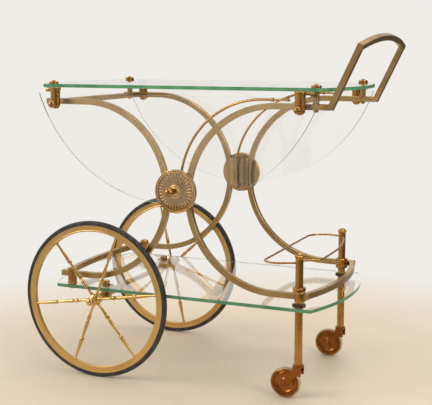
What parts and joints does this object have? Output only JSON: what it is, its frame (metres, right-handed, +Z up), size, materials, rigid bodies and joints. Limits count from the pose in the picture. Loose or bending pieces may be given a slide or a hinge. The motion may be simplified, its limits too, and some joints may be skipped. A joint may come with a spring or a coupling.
{
  "type": "dessert trolley",
  "caption": "Brass and glass dessert trolley with large spoked wheels, casters, half-moon drop leaves, a glass shelf and an arched handle.",
  "frame": {"origin": "on the floor, under the middle of the trolley's box", "axes": "+X towards the handle end, +Y towards the far side, +Z up"},
  "size_m": [0.8504, 0.504, 0.8273],
  "materials": {
    "aged_brass": "satin, aged brown",
    "warm_brass": "satin, lightly aged",
    "polished_brass": "polished",
    "rim_brass": "brushed satin",
    "copper_brass": "satin, copper brown",
    "clear_glass": "clear, polished green edge",
    "tyre_rubber": "matte",
    "caster_rubber": "matte, yellowed cream",
    "washer_rubber": "matte, dark brown"
  },
  "bodies": {
    "frame": {"near_left_arc": "aged_brass", "far_left_arc": "aged_brass", "near_right_arc": "aged_brass", "far_right_arc": "aged_brass", "handle_arms": "aged_brass", "handle_grip": "aged_brass", "near_medallion": "warm_brass", "far_medallion": "warm_brass", "medallion_backs": "aged_brass", "arm_housings": "aged_brass", "top_left_crossbar": "aged_brass", "lower_left_crossbar": "aged_brass", "lower_right_crossbar": "aged_brass", "top_glass": "clear_glass", "clamp_screws": "warm_brass", "clamp_spacers": "aged_brass", "clamp_nuts": "warm_brass", "hinge_ears": "aged_brass", "hinge_pins": "warm_brass", "lower_glass": "clear_glass", "shelf_posts": "warm_brass", "near_leg": "warm_brass", "far_leg": "warm_brass", "leg_finials": "warm_brass", "leg_collars": "warm_brass", "shelf_washers": "washer_rubber", "bottle_gallery": "warm_brass", "caster_sockets": "copper_brass", "axle": "aged_brass", "axle_brackets": "aged_brass", "bracket_screws": "warm_brass", "axle_collars": "warm_brass", "axle_caps": "polished_brass"},
    "near_wheel": {"near_tyre": "tyre_rubber", "near_rim": "rim_brass", "near_spokes": "polished_brass", "near_hub": "polished_brass"},
    "near_leaf": {"near_leaf_glass": "clear_glass", "near_leaf_clips": "warm_brass", "near_clip_screws": "warm_brass", "near_leaf_knob": "warm_brass"},
    "near_arm": {"near_support_arm": "warm_brass"},
    "near_caster": {"near_caster_yoke": "copper_brass", "near_caster_pin": "copper_brass"},
    "near_caster_roller": {"near_caster_wheel": "copper_brass", "near_caster_tyre": "caster_rubber"},
    "far_wheel": {"far_tyre": "tyre_rubber", "far_rim": "rim_brass", "far_spokes": "polished_brass", "far_hub": "polished_brass"},
    "far_leaf": {"far_leaf_glass": "clear_glass", "far_leaf_clips": "warm_brass", "far_clip_screws": "warm_brass", "far_leaf_knob": "warm_brass"},
    "far_arm": {"far_support_arm": "warm_brass"},
    "far_caster": {"far_caster_yoke": "copper_brass", "far_caster_pin": "copper_brass"},
    "far_caster_roller": {"far_caster_wheel": "copper_brass", "far_caster_tyre": "caster_rubber"}
  },
  "joints": [
    {"name": "near_wheel_spin", "type": "hinge", "parent": "frame", "child": "near_wheel", "pos_m": [-0.23273, -0.214, 0.1925], "axis": [0, 1, 0], "continuous": true},
    {"name": "near_leaf_hinge", "type": "hinge", "parent": "frame", "child": "near_leaf", "pos_m": [-0.01923, -0.217, 0.696], "axis": [-1, 0, 0], "range_deg": [0, 90]},
    {"name": "near_arm_swing", "type": "hinge", "parent": "frame", "child": "near_arm", "pos_m": [-0.01923, -0.17125, 0.47], "axis": [0, 0, -1], "range_deg": [-35, 5]},
    {"name": "near_caster_swivel", "type": "hinge", "parent": "frame", "child": "near_caster", "pos_m": [0.27077, -0.17025, 0.0775], "axis": [0, 0, 1], "continuous": true},
    {"name": "near_caster_roll", "type": "hinge", "parent": "near_caster", "child": "near_caster_roller", "pos_m": [0.24077, -0.17025, 0.0355], "axis": [0, 1, 0], "continuous": true},
    {"name": "far_wheel_spin", "type": "hinge", "parent": "frame", "child": "far_wheel", "pos_m": [-0.23273, 0.214, 0.1925], "axis": [0, 1, 0], "continuous": true},
    {"name": "far_leaf_hinge", "type": "hinge", "parent": "frame", "child": "far_leaf", "pos_m": [-0.01923, 0.217, 0.696], "axis": [1, 0, 0], "range_deg": [0, 90]},
    {"name": "far_arm_swing", "type": "hinge", "parent": "frame", "child": "far_arm", "pos_m": [-0.01923, 0.17125, 0.47], "axis": [0, 0, 1], "range_deg": [-35, 5]},
    {"name": "far_caster_swivel", "type": "hinge", "parent": "frame", "child": "far_caster", "pos_m": [0.27077, 0.17025, 0.0775], "axis": [0, 0, 1], "continuous": true},
    {"name": "far_caster_roll", "type": "hinge", "parent": "far_caster", "child": "far_caster_roller", "pos_m": [0.24077, 0.17025, 0.0355], "axis": [0, 1, 0], "continuous": true}
  ]
}
